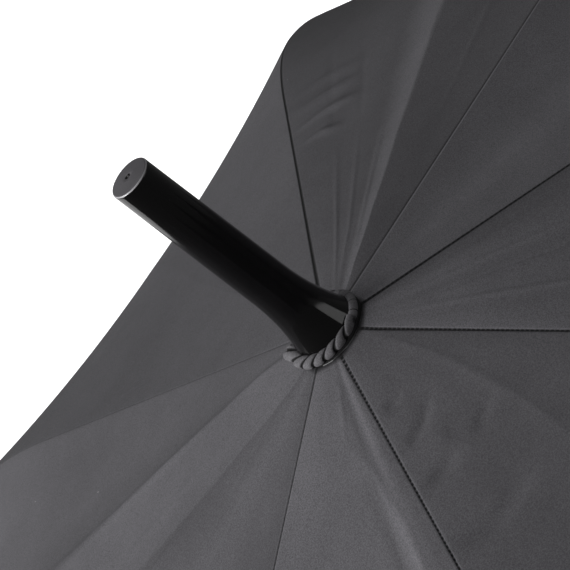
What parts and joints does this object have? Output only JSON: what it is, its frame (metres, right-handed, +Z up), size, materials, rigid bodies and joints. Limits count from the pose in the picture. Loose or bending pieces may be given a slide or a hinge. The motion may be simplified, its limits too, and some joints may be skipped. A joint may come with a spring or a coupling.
{
  "type": "golf umbrella",
  "caption": "Open golf umbrella: dark cloth canopy on hinged ribs and stretchers, sliding runner, straight grip, long glossy ferrule over a pleated cloth rosette.",
  "frame": {"origin": "centre of the handle's flat end face", "axes": "+Z runs up the shaft to the ferrule; +X is the bearing of rib 1"},
  "size_m": [1.379, 1.379, 1.0574],
  "materials": {
    "ferrule_plastic": "polished black",
    "black_plastic": "satin black",
    "cloth": "fine woven, charcoal",
    "rosette_cloth": "pleated, charcoal",
    "fibreglass": "smooth black rod",
    "steel": "plain",
    "painted_steel": "satin black",
    "grip_foam": "soft foam"
  },
  "bodies": {
    "frame": {"shaft": "painted_steel", "ferrule": "ferrule_plastic", "rosette": "rosette_cloth", "crown_washer": "black_plastic", "canopy_crown": "cloth", "top_notch": "black_plastic", "notch_pin": "steel", "notch_wire": "steel", "stop_pin": "steel", "top_catch_pin": "steel", "bottom_catch_pin": "steel", "handle_core": "black_plastic", "grip": "grip_foam", "handle_collar": "black_plastic", "handle_pin": "steel", "end_cap": "black_plastic"},
    "runner": {"runner": "black_plastic"},
    "top_catch": {"top_catch": "steel"},
    "bottom_catch": {"bottom_catch": "steel"},
    "rib_1": {"rib_1": "fibreglass", "rib_tip_1": "black_plastic", "canopy_sector_1": "cloth"},
    "stretcher_1": {"stretcher_1": "painted_steel"},
    "rib_2": {"rib_2": "fibreglass", "rib_tip_2": "black_plastic", "canopy_sector_2": "cloth"},
    "stretcher_2": {"stretcher_2": "painted_steel"},
    "rib_3": {"rib_3": "fibreglass", "rib_tip_3": "black_plastic", "canopy_sector_3": "cloth"},
    "stretcher_3": {"stretcher_3": "painted_steel"},
    "rib_4": {"rib_4": "fibreglass", "rib_tip_4": "black_plastic", "canopy_sector_4": "cloth", "tie_strap": "cloth", "tie_hook_tab": "black_plastic", "tie_loop_tab": "black_plastic"},
    "stretcher_4": {"stretcher_4": "painted_steel"},
    "rib_5": {"rib_5": "fibreglass", "rib_tip_5": "black_plastic", "canopy_sector_5": "cloth"},
    "stretcher_5": {"stretcher_5": "painted_steel"},
    "rib_6": {"rib_6": "fibreglass", "rib_tip_6": "black_plastic", "canopy_sector_6": "cloth"},
    "stretcher_6": {"stretcher_6": "painted_steel"},
    "rib_7": {"rib_7": "fibreglass", "rib_tip_7": "black_plastic", "canopy_sector_7": "cloth"},
    "stretcher_7": {"stretcher_7": "painted_steel"},
    "rib_8": {"rib_8": "fibreglass", "rib_tip_8": "black_plastic", "canopy_sector_8": "cloth"},
    "stretcher_8": {"stretcher_8": "painted_steel"}
  },
  "joints": [
    {"name": "runner_slide", "type": "slide", "parent": "frame", "child": "runner", "axis": [0, 0, 1], "range_m": [-0.44518, 0]},
    {"name": "rib_1_fold", "type": "hinge", "parent": "frame", "child": "rib_1", "pos_m": [0.012, 0, 0.95], "axis": [0, 1, 0], "range_deg": [0, 64.6], "deforming": ["canopy_sector_1"]},
    {"name": "stretcher_1_fold", "type": "hinge", "parent": "rib_1", "child": "stretcher_1", "pos_m": [0.341, 0, 0.86912], "axis": [0, 1, 0], "range_deg": [-117, 0]},
    {"name": "rib_2_fold", "type": "hinge", "parent": "frame", "child": "rib_2", "pos_m": [0.00849, 0.00849, 0.95], "axis": [-0.7071, 0.7071, 0], "range_deg": [0, 64.6], "deforming": ["canopy_sector_2"]},
    {"name": "stretcher_2_fold", "type": "hinge", "parent": "rib_2", "child": "stretcher_2", "pos_m": [0.24112, 0.24112, 0.86912], "axis": [-0.7071, 0.7071, 0], "range_deg": [-117, 0]},
    {"name": "rib_3_fold", "type": "hinge", "parent": "frame", "child": "rib_3", "pos_m": [0, 0.012, 0.95], "axis": [-1, 0, 0], "range_deg": [0, 64.6], "deforming": ["canopy_sector_3"]},
    {"name": "stretcher_3_fold", "type": "hinge", "parent": "rib_3", "child": "stretcher_3", "pos_m": [0, 0.341, 0.86912], "axis": [-1, 0, 0], "range_deg": [-117, 0]},
    {"name": "rib_4_fold", "type": "hinge", "parent": "frame", "child": "rib_4", "pos_m": [-0.00849, 0.00849, 0.95], "axis": [-0.7071, -0.7071, 0], "range_deg": [0, 64.6], "deforming": ["canopy_sector_4", "tie_strap", "tie_hook_tab", "tie_loop_tab"]},
    {"name": "stretcher_4_fold", "type": "hinge", "parent": "rib_4", "child": "stretcher_4", "pos_m": [-0.24112, 0.24112, 0.86912], "axis": [-0.7071, -0.7071, 0], "range_deg": [-117, 0]},
    {"name": "rib_5_fold", "type": "hinge", "parent": "frame", "child": "rib_5", "pos_m": [-0.012, 0, 0.95], "axis": [0, -1, 0], "range_deg": [0, 64.6], "deforming": ["canopy_sector_5"]},
    {"name": "stretcher_5_fold", "type": "hinge", "parent": "rib_5", "child": "stretcher_5", "pos_m": [-0.341, 0, 0.86912], "axis": [0, -1, 0], "range_deg": [-117, 0]},
    {"name": "rib_6_fold", "type": "hinge", "parent": "frame", "child": "rib_6", "pos_m": [-0.00849, -0.00849, 0.95], "axis": [0.7071, -0.7071, 0], "range_deg": [0, 64.6], "deforming": ["canopy_sector_6"]},
    {"name": "stretcher_6_fold", "type": "hinge", "parent": "rib_6", "child": "stretcher_6", "pos_m": [-0.24112, -0.24112, 0.86912], "axis": [0.7071, -0.7071, 0], "range_deg": [-117, 0]},
    {"name": "rib_7_fold", "type": "hinge", "parent": "frame", "child": "rib_7", "pos_m": [0, -0.012, 0.95], "axis": [1, 0, 0], "range_deg": [0, 64.6], "deforming": ["canopy_sector_7"]},
    {"name": "stretcher_7_fold", "type": "hinge", "parent": "rib_7", "child": "stretcher_7", "pos_m": [0, -0.341, 0.86912], "axis": [1, 0, 0], "range_deg": [-117, 0]},
    {"name": "rib_8_fold", "type": "hinge", "parent": "frame", "child": "rib_8", "pos_m": [0.00849, -0.00849, 0.95], "axis": [0.7071, 0.7071, 0], "range_deg": [0, 64.6], "deforming": ["canopy_sector_8"]},
    {"name": "stretcher_8_fold", "type": "hinge", "parent": "rib_8", "child": "stretcher_8", "pos_m": [0.24112, -0.24112, 0.86912], "axis": [0.7071, 0.7071, 0], "range_deg": [-117, 0]},
    {"name": "top_catch_press", "type": "hinge", "parent": "frame", "child": "top_catch", "pos_m": [0.00342, 0.00142, 0.62353], "axis": [-0.3827, 0.9239, 0], "range_deg": [-7, 0], "stiffness_Nm_per_rad": 0.06, "springref_deg": 5.73},
    {"name": "bottom_catch_press", "type": "hinge", "parent": "frame", "child": "bottom_catch", "pos_m": [0.00342, 0.00142, 0.25865], "axis": [-0.3827, 0.9239, 0], "range_deg": [0, 7], "stiffness_Nm_per_rad": 0.06, "springref_deg": -5.73}
  ],
  "couplings": [
    {"joint": "rib_1_fold", "follows": "runner_slide", "rad_per_m": -2.5287},
    {"joint": "stretcher_1_fold", "follows": "runner_slide", "rad_per_m": 4.5706},
    {"joint": "rib_2_fold", "follows": "runner_slide", "rad_per_m": -2.5287},
    {"joint": "stretcher_2_fold", "follows": "runner_slide", "rad_per_m": 4.5706},
    {"joint": "rib_3_fold", "follows": "runner_slide", "rad_per_m": -2.5287},
    {"joint": "stretcher_3_fold", "follows": "runner_slide", "rad_per_m": 4.5706},
    {"joint": "rib_4_fold", "follows": "runner_slide", "rad_per_m": -2.5287},
    {"joint": "stretcher_4_fold", "follows": "runner_slide", "rad_per_m": 4.5706},
    {"joint": "rib_5_fold", "follows": "runner_slide", "rad_per_m": -2.5287},
    {"joint": "stretcher_5_fold", "follows": "runner_slide", "rad_per_m": 4.5706},
    {"joint": "rib_6_fold", "follows": "runner_slide", "rad_per_m": -2.5287},
    {"joint": "stretcher_6_fold", "follows": "runner_slide", "rad_per_m": 4.5706},
    {"joint": "rib_7_fold", "follows": "runner_slide", "rad_per_m": -2.5287},
    {"joint": "stretcher_7_fold", "follows": "runner_slide", "rad_per_m": 4.5706},
    {"joint": "rib_8_fold", "follows": "runner_slide", "rad_per_m": -2.5287},
    {"joint": "stretcher_8_fold", "follows": "runner_slide", "rad_per_m": 4.5706}
  ]
}
